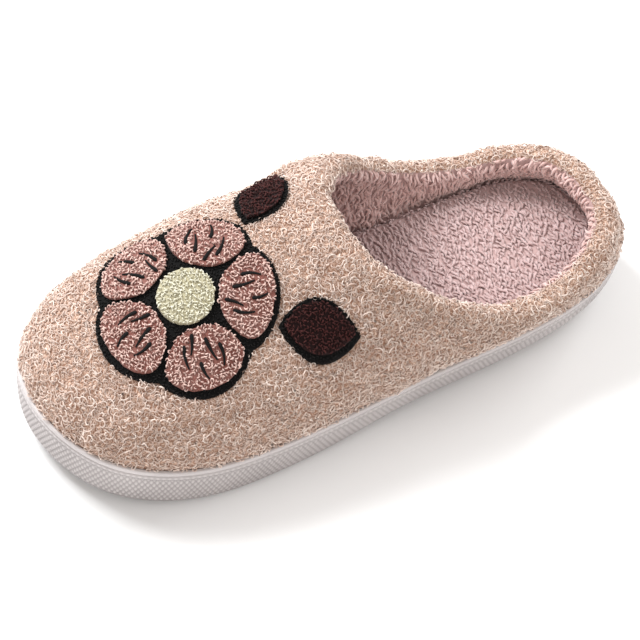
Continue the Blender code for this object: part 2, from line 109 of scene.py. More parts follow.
# Upper sections from the heel (0) round either side to the toe (1). Columns: share of
# the way round; plan angle of the collar point in degrees; its height, in shares of the
# heel and instep heights; rise of the wall before it turns in, by the instep height;
# bulge, by the collar wall; last stretch to the collar, by the ball width, and its pitch
# in degrees; and thickness at the collar, by the collar wall.
SECTION_ROWS = (
    (0.0, 0.0, 1.00, 0.000, 0.150, 0.12, 0.075, 79.0, 1.05),
    (0.2, 49.3, 0.96, 0.000, 0.138, 0.36, 0.072, 74.0, 0.95),
    (0.4, 85.0, 0.50, 0.172, 0.110, 0.38, 0.062, 60.0, 0.92),
    (0.6, 114.8, 0.28, 0.529, 0.310, 0.24, 0.140, 36.0, 0.74),
    (0.8, 146.9, 0.00, 0.931, 0.345, 0.15, 0.440, 25.0, 0.78),
    (1.0, 180.0, 0.00, 1.000, 0.372, 0.18, 0.558, 15.0, 0.87),
)

# Lean of the vamp to the wearer's left, plan of the collar, and where the sole leaves
# the floor, in shares and degrees
RISE_LEAN = 0.22
HEIGHT_LEAN = 0.113
PITCH_LEAN = 12.0
COLLAR_MIDDLE = 0.2367
COLLAR_OFFSET = 0.015
COLLAR_BACK_SHARE = 0.461
COLLAR_SQUARENESS = 2.35
COLLAR_SPREAD = 0.067
COLLAR_LEAN = 0.026
SPRING_START = -0.20
HEEL_LIFT_START = 0.34
ARCH_MIDDLE = 0.05
ARCH_REACH = 0.16

# Fineness of the cloth
STATIONS = 520
WALL_ROWS = 90
RIM_ROWS = 10
LINING_ROWS = 30
PLUSH_RIM_ROWS = 7
INSOLE_RINGS = 26

# Soft troughs in the upper. Columns: start and end, each as shares of
# the way round (from the heel by the wearer's left) and up; half width and depth in mm.
TROUGH_ROWS = (
    (0.205, 0.10, 0.232, 0.80, 9.0, 1.3),
    (0.795, 0.10, 0.768, 0.80, 9.0, 1.3),
    (0.290, 0.62, 0.500, 0.86, 8.0, 0.9),
    (0.710, 0.62, 0.500, 0.86, 8.0, 0.9),
    (0.262, 0.70, 0.300, 0.93, 4.5, 0.8),
    (0.738, 0.70, 0.700, 0.93, 4.5, 0.8),
    (0.410, 0.20, 0.372, 0.46, 3.6, 0.9),
    (0.436, 0.16, 0.398, 0.36, 3.2, 0.8),
    (0.345, 0.12, 0.330, 0.42, 5.0, 0.7),
    (0.600, 0.18, 0.636, 0.44, 3.8, 0.8),
    (0.660, 0.12, 0.678, 0.40, 5.0, 0.7),
    (0.940, 0.52, 1.000, 0.60, 4.5, 0.8),
    (0.000, 0.60, 0.070, 0.50, 4.5, 0.8),
    (0.120, 0.30, 0.150, 0.66, 6.0, 0.7),
    (0.880, 0.30, 0.850, 0.66, 6.0, 0.7),
    (0.672, 0.72, 0.628, 1.00, 15.0, -3.4),
)

# Short gathers where the cloth is drawn over the toe. Columns: share of the way round,
# share of the way up, half width and depth in mm.
GATHER_ROWS = (
    (0.352, 0.10, 2.2, 0.6),
    (0.371, 0.13, 2.0, 0.7),
    (0.393, 0.09, 2.4, 0.6),
    (0.412, 0.14, 2.0, 0.8),
    (0.430, 0.10, 2.2, 0.7),
    (0.452, 0.15, 2.0, 0.8),
    (0.471, 0.11, 2.4, 0.7),
    (0.492, 0.14, 2.0, 0.8),
    (0.514, 0.10, 2.2, 0.7),
    (0.533, 0.15, 2.0, 0.8),
    (0.556, 0.11, 2.2, 0.7),
    (0.578, 0.13, 2.0, 0.6),
    (0.601, 0.10, 2.4, 0.6),
    (0.628, 0.12, 2.2, 0.6),
)
LUMP_SIZE = 0.017
LUMP_HEIGHT = 0.0004
PATCH_MARGIN = 0.004

# Hollows of the insole under heel and ball. Columns: place, reach and depth in metres.
WORN_ROWS = (
    (0.075, 0.028, 0.0010),
    (-0.045, 0.030, 0.0007),
)

# Boucle curls, in metres: spacing, length, height and depth of the yarn's bow, how high
# it sits, how far it swells the cloth, and its radius
CURL_SPACING = 0.00138
CURL_LENGTH = 0.0062
CURL_POINTS = 8
CURL_RISE = 0.0013
CURL_ROOT = 0.0007
CURL_RIPPLE = 0.00022
CURL_SEAT = 0.0005
DOME_HEIGHT = 0.0006
YARN_RADIUS = 0.00026

# Fleece tufts on lining and insole, in metres, and their taper from root to tip
TUFT_SPACING = 0.00138
TUFT_LENGTH = 0.0032
TUFT_RISE = 0.0011
TUFT_ROOT = 0.0004
TUFT_RADIUS = 0.00054
TUFT_TAPER = (0.75, 1.25, 1.35, 1.05, 0.70, 0.18)
LINING_TUFTS_END = -0.030
INSOLE_TUFTS_END = -0.055

# Tufted loops of the flower and short pile of its felt, in metres
LOOP_SPACING = 0.00096
LOOP_RADIUS = 0.00056
LOOP_RISE = 0.0009
LOOP_YARN = 0.00030
PILE_SPACING = 0.0011
LOOP_LEAN = 45.0
PILE_LEAN = 30.0

# Tries for each planted yarn, and the span of random phases in radians
TRIES = 4.5
PHASES = 6.28

# Dark veins of each petal. Columns: direction from its middle in degrees, start and
# end as shares of the flower's radius, and bend in degrees.
VEIN_ROWS = (
    (-19.0, 0.56, 0.80, 5.0),
    (-9.0, 0.44, 0.66, -3.0),
    (-4.0, 0.74, 0.92, 4.0),
    (7.0, 0.52, 0.78, 3.0),
    (18.0, 0.64, 0.86, -5.0),
)
VEIN_WIDTH = 0.0020
VEIN_RISE = 0.0003
VEIN_CLEARANCE = 0.0002

# Knurling round the sole: points round it, points for each stud, and sizes in metres
KNURL_STATIONS = 1620
KNURL_STEPS = 6
KNURL_RELIEF = 0.00050
KNURL_ROWS = 25
SIDE_LAYER = 0.00012
TOOTH_RELIEF = 0.00015

# Colours as linear red, green and blue: shaded and lit yarn of each material
PLUSH = ((0.37, 0.18, 0.105), (0.97, 0.84, 0.76))
# The cloth between the curls is darker than the curls: painted shade under them.
PLUSH_GROUND_SHADED = ((0.26, 0.115, 0.06), (0.93, 0.73, 0.61))
FLEECE = ((0.44, 0.285, 0.27), (0.65, 0.485, 0.48))
# The lining's fleece is warmer than the insole's, and made lighter as painted light on the wall
# inside the upper.
LINING_WARM_AND_LIT = ((0.57, 0.345, 0.31), (0.92, 0.69, 0.66))
CREAM = ((0.46, 0.42, 0.28), (0.90, 0.88, 0.74))
PINK = ((0.20, 0.065, 0.050), (0.86, 0.62, 0.55))
BROWN = ((0.012, 0.003, 0.003), (0.085, 0.022, 0.020))
BLACK = ((0.003, 0.003, 0.003), (0.014, 0.012, 0.012))
SOLE = ((0.17, 0.145, 0.145), (0.66, 0.615, 0.61))
FLOOR = ((0.93, 0.93, 0.93), (0.95, 0.95, 0.95))

# Whorls drawn on the cloth: how many to the metre, their warp, and their rings
WHORL_SCALE = 420.0
WHORL_WARP = (0.0016, 0.0016, 0.0016)
WHORL_RINGS = 21.0

# Camera, from the photograph's view of the sole and collar
CAMERA_AZIMUTH = 55.05
CAMERA_ELEVATION = 52.12
CAMERA_ROLL = 9.6
CAMERA_DISTANCE = 1.2716
CAMERA_TARGET = (0.0009, 0.0, 0.030)
CAMERA_SLIDE = (0.00556, 0.00801)
CAMERA_LENS = 172.7

# Lights: place, width, power and colour
LIGHTS = {
    "key": ((-1.15, -0.55, 1.35), 0.8, 41.0, (0.97, 0.99, 1.0)),
    "fill": ((1.4, -0.8, 0.9), 1.2, 6.5, (1.0, 0.95, 0.90)),
    "back": ((-0.3, 1.3, 1.1), 0.9, 11.0, (1.0, 1.0, 1.0)),
}
LIGHT_TARGET = (0.0, 0.0, 0.03)
SURROUND_COLOUR = (1.0, 0.975, 0.955, 1.0)
SURROUND_STRENGTH = 0.68


def closed_spline(knots, values, period):
    """Smooth closed curve through values at knots from 0, as a function."""
    step = np.diff(np.append(knots, period))
    rate = (np.roll(values, -1, axis=0) - values) / step[:, None]
    after = np.roll(np.diag(step), 1, axis=1)
    system = after.T + np.diag(2.0 * (np.roll(step, 1) + step)) + after
    bend = np.linalg.solve(system, 6.0 * (rate - np.roll(rate, 1, axis=0)))

    def value_at(t):
        t = np.mod(t, period)
        i = np.searchsorted(knots, t, side="right") - 1
        j = (i + 1) % len(knots)
        width = step[i][:, None]
        past = (t - knots[i])[:, None]
        left = width - past
        curve = (bend[i] * left**3 + bend[j] * past**3) / (6.0 * width)
        line_start = (values[i] / width - bend[i] * width / 6.0) * left
        line_end = (values[j] / width - bend[j] * width / 6.0) * past
        return curve + line_start + line_end

    return value_at


def unit(vectors):
    """Vectors scaled to a length of 1."""
    return vectors / np.maximum(np.linalg.norm(vectors, axis=-1, keepdims=True), 1e-15)


def smooth_step(value, low, high):
    """0 below low, 1 above high, and an even rise between."""
    share = np.clip((value - low) / (high - low), 0.0, 1.0)
    return share * share * (3.0 - 2.0 * share)


def sole_outline(count):
    """Plan points of the sole's edge, from the heel by the wearer's left and back, their
    directions outward, and their shares of the way to the toe."""
    heel = [(0.0, SOLE_LENGTH / 2)]
    toe = [(TOE_POINT_OFFSET * BALL_WIDTH, -SOLE_LENGTH / 2)]
    left = [(a * BALL_WIDTH, SOLE_LENGTH * (0.5 - at)) for at, a, _ in OUTLINE_ROWS]
    right = [(-b * BALL_WIDTH, SOLE_LENGTH * (0.5 - at)) for at, _, b in OUTLINE_ROWS]
    points = np.array(heel + left + toe + right[::-1])
    hops = np.linalg.norm(np.roll(points, -1, axis=0) - points, axis=1) ** 0.5
    knots = np.append(0.0, np.cumsum(hops))
    curve = closed_spline(knots[:-1], points, knots[-1])
    fine_knots = np.linspace(0.0, knots[-1], CURVE_POINTS + 1)
    fine = curve(fine_knots)
    fine[-1] = fine[0]
    walked = np.append(0.0, np.cumsum(np.linalg.norm(np.diff(fine, axis=0), axis=1)))
    walked_to_toe = np.interp(knots[len(left) + 1], fine_knots, walked)
    turn = np.arange(count) / count
    first_half = turn <= 0.5
    out_walk = 2.0 * turn * walked_to_toe
    back_walk = walked_to_toe + (2.0 * turn - 1.0) * (walked[-1] - walked_to_toe)
    at = np.interp(np.where(first_half, out_walk, back_walk), walked, fine_knots)
    edge = curve(at)
    nudge = knots[-1] / CURVE_POINTS
    along = unit(curve(at + nudge) - curve(at - nudge))
    outward = np.stack([-along[:, 1], along[:, 0]], axis=1)
    share = np.where(first_half, 2.0 * turn, 2.0 - 2.0 * turn)
    return edge - (fine.max(axis=0) + fine.min(axis=0)) / 2, outward, share


def toe_lift(y):
    """How far the sole's bottom leaves the floor at the toe and the back of the heel."""
    share = y / SOLE_LENGTH
    toe = np.clip((SPRING_START - share) / (0.5 + SPRING_START), 0.0, 1.0)
    heel = np.clip((share - HEEL_LIFT_START) / (0.5 - HEEL_LIFT_START), 0.0, 1.0)
    return TOE_SPRING * toe**2 + HEEL_LIFT * heel**2


def bottom_height(y):
    """Height of the sole's underside: flat at the forefoot and heel, raised between."""
    away = np.abs(y / SOLE_LENGTH - ARCH_MIDDLE) / ARCH_REACH
    return toe_lift(y) + ARCH_RISE * smooth_step(-away, -1.0, 0.0)


def lip_height(y):
    """Height of the lip round the top of the sole."""
    return toe_lift(y) + SOLE_HEIGHT + HEEL_RAISE * np.clip(2.0 * y / SOLE_LENGTH, 0.0, 1.0)


def cup_floor(y):
    """Height of the seat inside the lip, on which upper and insole stand."""
    return lip_height(y) - CUP_DEPTH


def foot_height(y):
    """Height of the lowest edge of upper and insole, just over their seat."""
    return cup_floor(y) + GAP


def insole_top(y):
    """Height of the insole's edge where it meets the upper."""
    return lip_height(y) + INSOLE_RISE


def ring(edge, outward, inset, height):
    """Points inset from the sole's edge, at a height by their place along the shoe."""
    plan = edge - outward * np.broadcast_to(inset, (len(edge),))[:, None]
    return np.column_stack([plan, height(plan[:, 1])])


def section_values(share, side):
    """The columns of SECTION_ROWS at each share, leaned to the wearer's left."""
    rows = np.array(SECTION_ROWS)
    spread = 180.0 * rows[:, 0]
    table = np.column_stack([rows[:, 1] - spread, rows[:, 2:]])
    mirrored = table[-2:0:-1] * np.append(-1.0, np.ones(table.shape[1] - 1))
    knots = np.concatenate([rows[:, 0], 2.0 - rows[-2:0:-1, 0]])
    values = closed_spline(knots, np.concatenate([table, mirrored]), 2.0)(share)
    angle, heel_part, instep_part, rise, bulge, reach, pitch, wall = values.T
    lean = np.sin(np.pi * share) * share * side
    top = heel_part * HEEL_HEIGHT + instep_part * INSTEP_HEIGHT
    top = top * (1.0 - HEIGHT_LEAN * lean * share)
    angle = np.radians(angle + 180.0 * share) * side
    return angle, top, rise * (1.0 - RISE_LEAN * lean), bulge, reach, pitch + PITCH_LEAN * lean, wall


def collar_plan(angle):
    """Plan of the collar: a squared oval that widens towards the toe."""
    waves = np.array([np.sin(angle), np.cos(angle)])
    across, along = np.sign(waves) * np.abs(waves) ** (2.0 / COLLAR_SQUARENESS)
    x = across * COLLAR_WIDTH / 2 * (1.0 - COLLAR_SPREAD * along)
    x += COLLAR_WIDTH * (COLLAR_OFFSET + COLLAR_LEAN * along)
    reach = COLLAR_LENGTH * np.where(along > 0.0, COLLAR_BACK_SHARE, 1.0 - COLLAR_BACK_SHARE)
    return np.column_stack([x, COLLAR_MIDDLE * SOLE_LENGTH + reach * along])


def facings(grid):
    """Unit directions out of a grid of rows that close on themselves."""
    around = np.roll(grid, -1, axis=1) - np.roll(grid, 1, axis=1)
    up = np.gradient(grid, axis=0)
    return unit(np.cross(up, around))


def upper_surface(edge, outward, share):
    """Rows of the upper's outer skin from sole to collar, and the wall at the collar."""
    side = np.where(np.arange(len(edge)) <= len(edge) // 2, 1.0, -1.0)
    angle, top, rise, bulge, reach, pitch, wall = section_values(share, side)
    foot = ring(edge, outward, CUP_WALL + GAP, lip_height)
    plan = collar_plan(angle)
    collar = np.column_stack([plan, top])
    away = unit(foot[:, :2] - plan + outward * COLLAR_WALL)
    swell = np.column_stack([outward * (bulge * COLLAR_WALL)[:, None], rise * INSTEP_HEIGHT])
    slope = np.radians(pitch)
    run = np.column_stack([away * np.cos(slope)[:, None], -np.sin(slope)])
    above_foot = foot + swell
    before_collar = collar + run * (reach * BALL_WIDTH)[:, None]
    grid = []
    for t in np.linspace(0.0, 1.0, WALL_ROWS + 1):
        lower = (1 - t)**3 * foot + 3 * (1 - t)**2 * t * above_foot
        grid.append(lower + 3 * (1 - t) * t**2 * before_collar + t**3 * collar)
    return np.array(grid), wall * COLLAR_WALL


def soft_noise(points, size, seed):
    """Smooth noise of about unit height whose swells are about size apart."""
    rng = np.random.default_rng(seed)
    total = 0.0
    for _ in range(14):
        direction = rng.normal(size=3)
        direction *= 2 * math.pi * rng.uniform(0.6, 1.4) / (size * np.linalg.norm(direction))
        total = total + np.sin(points @ direction + rng.uniform(0.0, 2 * math.pi))
    return total / 14**0.5


def trough_depths(grid):
    """How far troughs and gathers sink the outer skin, with a low ridge beside each."""
    rows, count = grid.shape[:2]
    lines = list(TROUGH_ROWS)
    lines += [(at, 0.0, at + 0.004, reach, width, depth) for at, reach, width, depth in GATHER_ROWS]
    steps = np.linspace(0.0, 1.0, 25)
    sunk = np.zeros((rows, count))
    for start, low, end, high, width, depth in lines:
        column = np.round((start + (end - start) * steps) * count).astype(int) % count
        row = np.round((low + (high - low) * steps) * (rows - 1)).astype(int)
        away = np.full((rows, count), np.inf)
        fade = np.zeros((rows, count))
        for step, point in zip(steps, grid[row, column]):
            distance = np.linalg.norm(grid - point, axis=2)
            fade = np.where(distance < away, math.sin(math.pi * (0.12 + 0.76 * step)), fade)
            away = np.minimum(away, distance)
        reach = away / (width * 0.001)
        profile = np.exp(-reach**2) - 0.35 * np.exp(-(reach - 1.9)**2 / 0.5)
        sunk += depth * 0.001 * fade * profile
    return sunk


def outline_sides(outline):
    """The ends of each side of a closed plan outline."""
    return zip(outline, np.roll(outline, -1, axis=0))


def any_holds(outlines, points):
    """Whether points lie over any of the closed plan outlines."""
    x, y = points[:, :2].T
    found = np.zeros(len(points), bool)
    for outline in outlines:
        inside = np.zeros(len(points), bool)
        for (x0, y0), (x1, y1) in outline_sides(outline):
            at = x0 + (y - y0) * (x1 - x0) / (1e-12 if y1 == y0 else y1 - y0)
            inside ^= ((y0 > y) != (y1 > y)) & (x < at)
        found |= inside
    return found


def node_arrays(node):
    """Vertices and triangles of one of the solids."""
    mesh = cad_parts[node].data
    mesh.calc_loop_triangles()
    triangles = [triangle.vertices for triangle in mesh.loop_triangles]
    return np.array([vertex.co for vertex in mesh.vertices]), np.array(triangles)


def triangle_facings(vertices, triangles):
    """Unit normal and area of each triangle."""
    a, b, c = (vertices[triangles[:, k]] for k in range(3))
    normal = np.cross(b - a, c - a)
    return unit(normal), np.linalg.norm(normal, axis=1) / 2


def plan_distance(points, outline):
    """Distance in plan from points to a closed outline's edge."""
    best = np.full(len(points), np.inf)
    for (x0, y0), (x1, y1) in outline_sides(outline):
        x, y = points[:, 0] - x0, points[:, 1] - y0
        along, up = x1 - x0, y1 - y0
        t = np.clip((x * along + y * up) / max(along**2 + up**2, 1e-18), 0.0, 1.0)
        best = np.minimum(best, np.hypot(x - t * along, y - t * up))
    return best


def node_outline(node):
    """Plan outline of an upright-sided plate: its rim in order round the middle."""
    vertices, triangles = node_arrays(node)
    normal, _ = triangle_facings(vertices, triangles)
    walls = np.abs(normal[:, 2]) < 0.02
    rim = vertices[np.unique(triangles[walls])][:, :2]
    middle = (rim.max(axis=0) + rim.min(axis=0)) / 2
    turn = np.arctan2(rim[:, 1] - middle[1], rim[:, 0] - middle[0])
    return rim[np.argsort(turn)]


def scatter(vertices, triangles, facing, spacing, seed, keep):
    """Points spread over triangles, none nearer to another than the spacing: their
    places, directions out of the surface, and triangles."""
    rng = np.random.default_rng(seed)
    _, area = triangle_facings(vertices, triangles)
    tries = int(area.sum() / spacing**2 * TRIES)
    chosen = rng.choice(len(triangles), size=tries, p=area / area.sum())
    u, v = rng.random((2, tries))
    flip = u + v > 1.0
    u, v = np.where(flip, (1.0 - u, 1.0 - v), (u, v))
    weight = np.stack([1.0 - u - v, u, v], axis=1)[:, :, None]
    place = (vertices[triangles[chosen]] * weight).sum(axis=1)
    out = unit((facing[triangles[chosen]] * weight).sum(axis=1))
    cells, taken = {}, []
    around = [(a, b, c) for a in (-1, 0, 1) for b in (-1, 0, 1) for c in (-1, 0, 1)]
    square = spacing * spacing
    for n in np.flatnonzero(keep(place)):
        x, y, z = place[n]
        i, j, k = int(x // spacing), int(y // spacing), int(z // spacing)
        near = (point for a, b, c in around for point in cells.get((i + a, j + b, k + c), ()))
        if all((px - x)**2 + (py - y)**2 + (pz - z)**2 >= square for px, py, pz in near):
            cells.setdefault((i, j, k), []).append((x, y, z))
            taken.append(n)
    return place[taken], out[taken], chosen[taken]


def grid_quads(rows, count):
    """Quads between neighbouring rows that close on themselves."""
    low = np.arange((rows - 1) * count)
    after = low - low % count + (low + 1) % count
    return np.stack([low, low + count, after + count, after], axis=1)


def tube(path, radii, sides, squash=1.0):
    """Vertices and quads of a tube along a path, flattened by the squash."""
    path = np.asarray(path, float)
    along = unit(np.gradient(path, axis=0))
    vertices = []
    for point, direction, radius in zip(path, along, radii):
        side = unit(np.cross(direction, (0.0, 0.0, 1.0)))
        over = np.cross(side, direction) * squash
        for k in range(sides):
            turn = 2 * math.pi * k / sides + math.pi / 2
            vertices.append(point + radius * (side * math.cos(turn) + over * math.sin(turn)))
    return np.array(vertices), grid_quads(len(path), sides)[:, [0, 3, 2, 1]]


def curl_shapes(rng, count):
    """Boucle curls: a yarn that rises, bends round and tucks under again. Every fourth
    bends to and fro instead."""
    shapes = []
    t = np.linspace(0.0, 1.0, CURL_POINTS)
    for index in range(count):
        bend = 2 * math.pi * rng.uniform(0.60, 1.15) * rng.choice([-1.0, 1.0])
        heading = bend * (t + rng.uniform(-0.09, 0.09) * np.sin(2 * math.pi * t))
        if index % 4 == 0:
            heading = 0.75 * bend * np.sin(math.pi * (t * rng.uniform(0.9, 1.3) + 0.1))
        step = CURL_LENGTH * rng.uniform(0.75, 1.25) / (CURL_POINTS - 1)
        x = step * np.cumsum(np.cos(heading))
        y = step * np.cumsum(np.sin(heading))
        height = CURL_RISE * rng.uniform(0.8, 1.2) * np.sin(math.pi * t) ** 0.6 - CURL_ROOT
        height = height + CURL_RIPPLE * np.sin(heading + rng.uniform(0, PHASES))
        path = np.column_stack([x - x.mean(), y - y.mean(), height])
        radii = np.full(CURL_POINTS, YARN_RADIUS) * rng.uniform(0.85, 1.25)
        # Painted shade: the yarn is darker low down at its roots and lighter where it rises.
        rising = np.clip(0.45 + height / CURL_RISE, 0.0, 1.0)
        shapes.append((*tube(path, radii, 3), np.repeat(rising, 3)))
    return shapes


def tuft_shapes(rng, count, usual_length):
    """Fleece tufts: a wavy lock that leans over along +X and comes to a point."""
    shapes = []
    t = np.linspace(0.0, 1.0, len(TUFT_TAPER))
    for _ in range(count):
        length = usual_length * rng.uniform(0.75, 1.25)
        wave = rng.uniform(-0.16, 0.16) * length
        path = np.column_stack([
            length * t,
            wave * np.sin(math.pi * t * rng.uniform(1.0, 1.7)),
            TUFT_RISE * rng.uniform(0.7, 1.2) * np.sin(math.pi * (0.06 + 0.66 * t)) - TUFT_ROOT,
        ])
        radii = TUFT_RADIUS * np.array(TUFT_TAPER) * rng.uniform(0.85, 1.2)
        # Painted shade: each tuft is darker at its root and lighter towards its tip.
        shapes.append((*tube(path, radii, 4, 0.62), np.repeat(0.25 + 0.75 * t, 4)))
    return shapes


def loop_shapes(rng, count, rise, radius):
    """Tufted loops: a yarn that leaves the cloth, bows over and goes back in."""
    shapes = []
    bow = math.pi * (1.25 * np.linspace(0.0, 1.0, 6) - 0.125)
    for _ in range(count):
        size = radius * rng.uniform(0.8, 1.25)
        path = np.column_stack([
            size * np.cos(bow),
            0.35 * size * np.sin(bow * 1.3 + rng.uniform(0, PHASES)),
            rise * rng.uniform(0.85, 1.15) * np.sin(bow),
        ])
        radii = np.full(len(bow), LOOP_YARN) * rng.uniform(0.9, 1.15)
        # Painted shade: each loop is darker where it enters the cloth and lightest at the top of its
        # bow.
        shapes.append((*tube(path, radii, 3), np.repeat(np.clip(np.sin(bow), 0.0, 1.0), 3)))
    return shapes


def plant(shapes, place, out, lean, rng, heading=None, heading_spread=180.0):
    """Copies of the shapes standing on places, as one set of vertices, quads and shades.
    Headings are directions that +X follows."""
    count = len(place)
    pick = rng.integers(0, len(shapes), count)
    if heading is None:
        heading = rng.normal(size=(count, 3))
    level = unit(heading - out * np.einsum("ij,ij->i", heading, out)[:, None])
    beside = np.cross(out, level)
    turn = np.radians(rng.uniform(-heading_spread, heading_spread, count))[:, None]
    ahead = level * np.cos(turn) + beside * np.sin(turn)
    beside = beside * np.cos(turn) - level * np.sin(turn)
    tilt = np.radians(rng.normal(0.0, lean, count))[:, None]
    upward = out * np.cos(tilt) + beside * np.sin(tilt)
    beside = np.cross(upward, ahead)
    scale = rng.uniform(0.82, 1.18, count)
    tone = rng.uniform(0.0, 1.0, count)
    all_vertices, all_quads, all_shades = [], [], []
    offset = 0
    for index, (vertices, quads, rising) in enumerate(shapes):
        which = np.flatnonzero(pick == index)
        axes = np.stack([ahead[which], beside[which], upward[which]], axis=1)
        placed = np.einsum("vk,nkj->nvj", vertices, axes * scale[which][:, None, None])
        placed += place[which][:, None, :]
        starts = offset + np.arange(len(which)) * len(vertices)
        all_vertices.append(placed.reshape(-1, 3))
        all_quads.append((quads[None] + starts[:, None, None]).reshape(-1, 4))
        # Shade: painted shade at each copy's roots, mixed with a random tone for each copy.
        all_shades.append((0.55 * rising[None, :] + 0.45 * tone[which][:, None]).ravel())
        offset += len(which) * len(vertices)
    return np.concatenate(all_vertices), np.concatenate(all_quads), np.concatenate(all_shades)


def split_quads(quads):
    """Two triangles for each quad."""
    return np.concatenate([quads[:, [0, 1, 2]], quads[:, [0, 2, 3]]])


def make_piece(name, vertices, face_sets, shade, materials, second=None):
    """A piece of the model from arrays. Second tells which faces have material two."""
    mesh = bpy.data.meshes.new(name)
    corners = np.concatenate([faces.ravel() for faces in face_sets]).astype(np.int32)
    sizes = np.concatenate([np.full(len(faces), faces.shape[1]) for faces in face_sets])
    starts = np.append(0, np.cumsum(sizes)[:-1]).astype(np.int32)
    mesh.vertices.add(len(vertices))
    mesh.vertices.foreach_set("co", np.ascontiguousarray(vertices, np.float32).ravel())
    mesh.loops.add(len(corners))
    mesh.loops.foreach_set("vertex_index", corners)
    mesh.polygons.add(len(sizes))
    mesh.polygons.foreach_set("loop_start", starts)
    mesh.polygons.foreach_set("use_smooth", np.ones(len(sizes), bool))
    if second is not None:
        mesh.polygons.foreach_set("material_index", second.astype(np.int32))
    mesh.update(calc_edges=True)
    mesh.validate()
    layer = mesh.attributes.new("shade", "FLOAT", "POINT")
    layer.data.foreach_set("value", np.ascontiguousarray(shade, np.float32))
    for material in materials:
        mesh.materials.append(material)
    piece = add_object(name, mesh)
    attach(piece, "root")
    return piece


def make_planted(name, planted, material):
    """A piece from what plant() gives."""
    vertices, quads, shade = planted
    make_piece(name, vertices, [quads], shade, [material])


def add_node(tree, kind, inputs=None, **settings):
    """A shader node with its settings. An input is a value or another node's output."""
    node = tree.nodes.new(kind)
    for name, value in settings.items():
        setattr(node, name, value)
    for name, value in (inputs or {}).items():
        if isinstance(value, bpy.types.NodeSocket):
            tree.links.new(value, node.inputs[name])
        else:
            node.inputs[name].default_value = value
    return node


def blank_material(name, colours, roughness, sheen):
    """A material between two colours: it, its tree, shader, ramp and coordinates."""
    material = bpy.data.materials.new(name)
    material.use_nodes = True
    tree = material.node_tree
    shader = tree.nodes["Principled BSDF"]
    shader.inputs["Base Color"].default_value = (*np.mean(colours, axis=0), 1.0)
    shader.inputs["Roughness"].default_value = roughness
    shader.inputs["Sheen Weight"].default_value = sheen
    shader.inputs["Sheen Roughness"].default_value = 0.5
    shader.inputs["Specular IOR Level"].default_value = 0.5 if sheen == 0.0 else 0.15
    ramp = add_node(tree, "ShaderNodeValToRGB")
    for element, colour in zip(ramp.color_ramp.elements, colours):
        element.color = (*colour, 1.0)
    tree.links.new(ramp.outputs["Color"], shader.inputs["Base Color"])
    coordinates = add_node(tree, "ShaderNodeTexCoord").outputs["Object"]
    return material, tree, shader, ramp, coordinates


def worked_out(tree, operation, *terms, kind="ShaderNodeMath", **settings):
    """The result of an operation on outputs and numbers."""
    node = add_node(tree, kind, dict(enumerate(terms)), operation=operation, **settings)
    return node.outputs[0]


def weighted_sum(tree, terms):
    """Sum of outputs times their weights, kept between 0 and 1."""
    scaled = [worked_out(tree, "MULTIPLY", *term) for term in terms]
    total = scaled[0]
    for term in scaled[1:]:
        total = worked_out(tree, "ADD", total, term, use_clamp=True)
    return total


def shade_output(tree):
    """The shade that each point of a piece carries."""
    return add_node(tree, "ShaderNodeAttribute", attribute_name="shade").outputs["Fac"]


def noise_output(tree, coordinates, size, detail=2.0):
    """Noise whose swells are about size metres apart."""
    inputs = {"Vector": coordinates, "Scale": 1.0 / size, "Detail": detail}
    return add_node(tree, "ShaderNodeTexNoise", inputs).outputs["Fac"]


def add_bump(tree, shader, height, strength, distance):
    """Bump from a height output, in metres."""
    inputs = {"Height": height, "Strength": strength, "Distance": distance}
    bump = add_node(tree, "ShaderNodeBump", inputs)
    tree.links.new(bump.outputs["Normal"], shader.inputs["Normal"])


def yarn_material(name, colours, roughness=0.72, sheen=0.35, tone_weight=0.75, fibre_size=0.0005):
    """Yarn: each loop has its own tone, with painted shade darker at its roots, and fine fibres."""
    material, tree, shader, ramp, coordinates = blank_material(name, colours, roughness, sheen)
    broad = noise_output(tree, coordinates, 0.012)
    fine = noise_output(tree, coordinates, fibre_size, 3.0)
    tone = weighted_sum(tree, [(shade_output(tree), tone_weight), (broad, 0.18), (fine, 0.22)])
    ramp.color_ramp.elements[0].position = 0.2
    tree.links.new(tone, ramp.inputs["Fac"])
    add_bump(tree, shader, fine, 0.5, 0.0002)
    return material


def curled_cloth_material(name, colours):
    """Cloth between the curls: whorls of thin yarn, by Voronoi rings warped by noise, with painted
    shade from the shade attribute: lighter on the domes under the curls, darker between them.
    """
    material, tree, shader, ramp, coordinates = blank_material(name, colours, 0.85, 0.3)
    inputs = {"Vector": coordinates, "Scale": WHORL_SCALE, "Detail": 1.0}
    warp = add_node(tree, "ShaderNodeTexNoise", inputs).outputs["Color"]
    vector = "ShaderNodeVectorMath"
    push = worked_out(tree, "MULTIPLY", warp, WHORL_WARP, kind=vector)
    moved = worked_out(tree, "ADD", coordinates, push, kind=vector)
    inputs = {"Vector": moved, "Scale": WHORL_SCALE}
    away = add_node(tree, "ShaderNodeTexVoronoi", inputs).outputs["Distance"]
    wave = worked_out(tree, "SINE", worked_out(tree, "MULTIPLY", away, WHORL_RINGS))
    shade = shade_output(tree)
    broad = noise_output(tree, coordinates, 0.012)
    tone = weighted_sum(tree, [(shade, 0.45), (wave, 0.36), (broad, 0.3)])
    tree.links.new(tone, ramp.inputs["Fac"])
    height = weighted_sum(tree, [(wave, 0.25), (away, -0.8), (shade, 0.9)])
    add_bump(tree, shader, height, 0.8, 0.0006)
    return material


